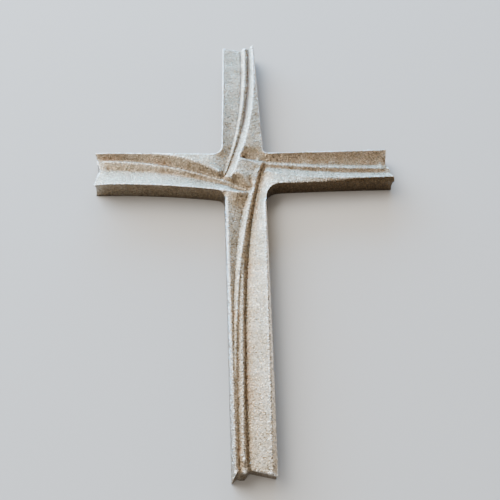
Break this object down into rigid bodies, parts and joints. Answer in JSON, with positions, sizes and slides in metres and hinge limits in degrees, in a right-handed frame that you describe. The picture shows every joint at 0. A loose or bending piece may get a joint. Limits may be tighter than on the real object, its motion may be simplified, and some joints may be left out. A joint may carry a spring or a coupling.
{
  "type": "memorial cross",
  "caption": "Cast bronze funerary cross with slim faceted arms whose carved ridges sweep into a pinwheel boss at the crossing; flat back, made to be fixed on a memorial.",
  "frame": {"origin": "on the flat back, under the centre of the crossing", "axes": "+X towards the right arm as seen from the front, +Y towards the head, +Z out of the carved front. The cross lies on its back; when it is hung on a wall, +Y is up"},
  "size_m": [0.0992, 0.1502, 0.0074],
  "materials": {
    "bronze": "satin cast bronze with a fine grain and a greyish brown patina, brighter along worn edges"
  },
  "bodies": {
    "root": {"bronze_cross": "bronze"}
  },
  "joints": []
}
